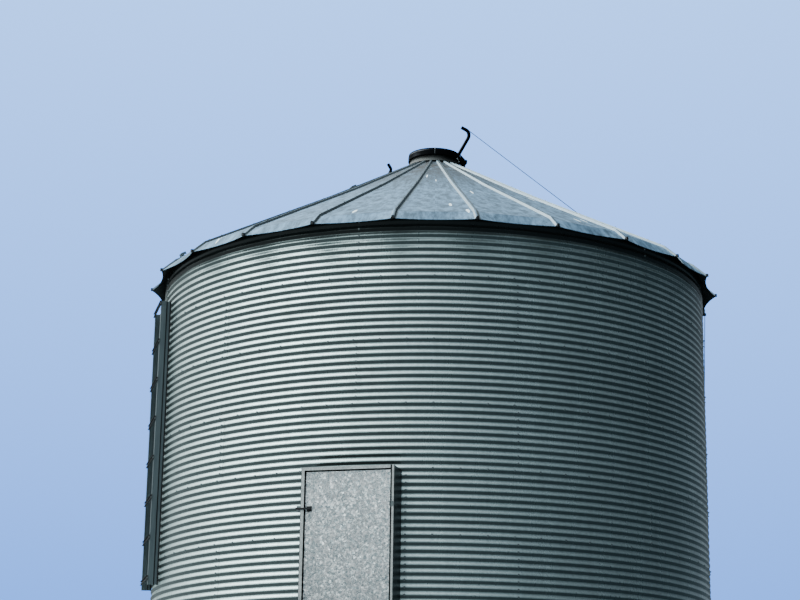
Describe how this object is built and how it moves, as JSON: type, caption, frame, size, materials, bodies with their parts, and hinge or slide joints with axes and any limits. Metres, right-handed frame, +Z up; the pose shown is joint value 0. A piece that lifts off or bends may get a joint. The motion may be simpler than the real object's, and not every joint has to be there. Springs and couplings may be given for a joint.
{
  "type": "grain silo",
  "caption": "Round corrugated steel grain bin with a ribbed cone roof, a hinged peak lid, a walk-in door in a box frame and a wall ladder.",
  "frame": {"origin": "centre of the floor's underside, on the bin's axis, level with the ground it stands on", "axes": "+Z up along the bin's axis, -Y towards the side that the door is nearest to"},
  "size_m": [6.0542, 6.1748, 6.2549],
  "materials": {
    "galvanised_sheet": "weathered galvanised, satin, with dents and scuffs",
    "roof_sheet": "weathered galvanised, dull",
    "door_sheet": "galvanised with spangle",
    "frame_steel": "galvanised, lighter than the wall",
    "ladder_steel": "galvanised, dull and dark",
    "black_steel": "black, matt",
    "wire": "twisted steel wire",
    "floor_sheet": "plain galvanised"
  },
  "bodies": {
    "bin": {"bin_floor": "floor_sheet", "door_catch": "frame_steel", "door_head": "frame_steel", "door_hinge_lower": "frame_steel", "door_hinge_upper": "frame_steel", "door_jamb_left": "frame_steel", "door_jamb_right": "frame_steel", "door_sill": "frame_steel", "grab_hook": "black_steel", "lid_hinge_bracket": "black_steel", "lid_pull_wire": "wire", "peak_collar": "roof_sheet", "peak_neck": "roof_sheet", "roof_section_01": "roof_sheet", "roof_section_02": "roof_sheet", "roof_section_03": "roof_sheet", "roof_section_04": "roof_sheet", "roof_section_05": "roof_sheet", "roof_section_06": "roof_sheet", "roof_section_07": "roof_sheet", "roof_section_08": "roof_sheet", "roof_section_09": "roof_sheet", "roof_section_10": "roof_sheet", "roof_section_11": "roof_sheet", "roof_section_12": "roof_sheet", "roof_step_high": "ladder_steel", "roof_step_low": "ladder_steel", "wall_ladder": "ladder_steel", "wall_over_door": "galvanised_sheet", "wall_segment_01": "galvanised_sheet", "wall_segment_02": "galvanised_sheet", "wall_segment_03": "galvanised_sheet", "wall_segment_04": "galvanised_sheet", "wall_segment_05": "galvanised_sheet", "wall_segment_06": "galvanised_sheet", "wall_segment_07": "galvanised_sheet", "wall_segment_08": "galvanised_sheet", "wall_segment_09": "galvanised_sheet", "wall_segment_10": "galvanised_sheet", "wall_segment_11": "galvanised_sheet", "wall_segment_12": "galvanised_sheet", "wire_cleat": "ladder_steel", "wire_eye": "ladder_steel"},
    "door": {"door_leaf": "door_sheet", "door_handle": "black_steel"},
    "lid": {"peak_lid": "black_steel", "lid_lever": "black_steel"}
  },
  "joints": [
    {"name": "door_swing", "type": "hinge", "parent": "bin", "child": "door", "pos_m": [-0.38177, -3.14752, 0.93], "axis": [0, 0, 1], "range_deg": [0, 115]},
    {"name": "lid_swing", "type": "hinge", "parent": "bin", "child": "lid", "pos_m": [0.35, 0, 5.835], "axis": [0, 1, 0], "range_deg": [0, 85], "deforming": ["lid_pull_wire"]}
  ]
}
